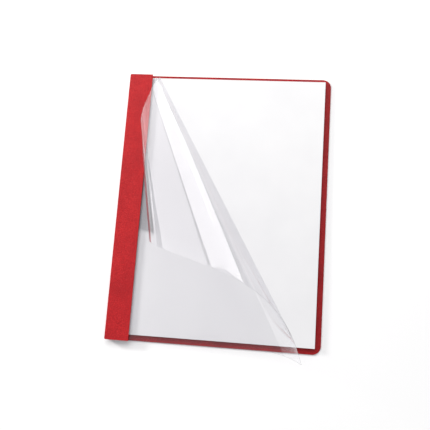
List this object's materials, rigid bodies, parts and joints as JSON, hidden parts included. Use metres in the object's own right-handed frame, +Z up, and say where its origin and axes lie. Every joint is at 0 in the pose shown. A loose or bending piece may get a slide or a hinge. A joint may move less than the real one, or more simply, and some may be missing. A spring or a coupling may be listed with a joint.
{
  "type": "report cover",
  "caption": "Report cover with a leatherette card back, a hinged front strip and clear film front with one corner rolled under the strip, and punched pages on prong fasteners.",
  "frame": {"origin": "centre of the back cover's flat underside", "axes": "+Z up from the surface that the cover lies on, +Y towards the top of the pages, -X towards the spine"},
  "size_m": [0.223, 0.2939, 0.0793],
  "materials": {
    "leatherette": "red leatherette card with a fine embossed grain",
    "clear_film": "clear glossy film",
    "binding_card": "plain red card",
    "paper": "white uncoated paper",
    "tinplate": "thin bright tinplate"
  },
  "bodies": {
    "back": {"back_cover": "leatherette", "inner_strip": "binding_card", "paper_stack": "paper", "fastener_top": "tinplate", "fastener_middle": "tinplate", "fastener_bottom": "tinplate"},
    "front": {"front_strip": "leatherette", "clear_cover": "clear_film"}
  },
  "joints": [
    {"name": "front_hinge", "type": "hinge", "parent": "back", "child": "front", "pos_m": [-0.1115, 0, 0.00465], "axis": [0, -1, 0], "range_deg": [0, 143]}
  ]
}
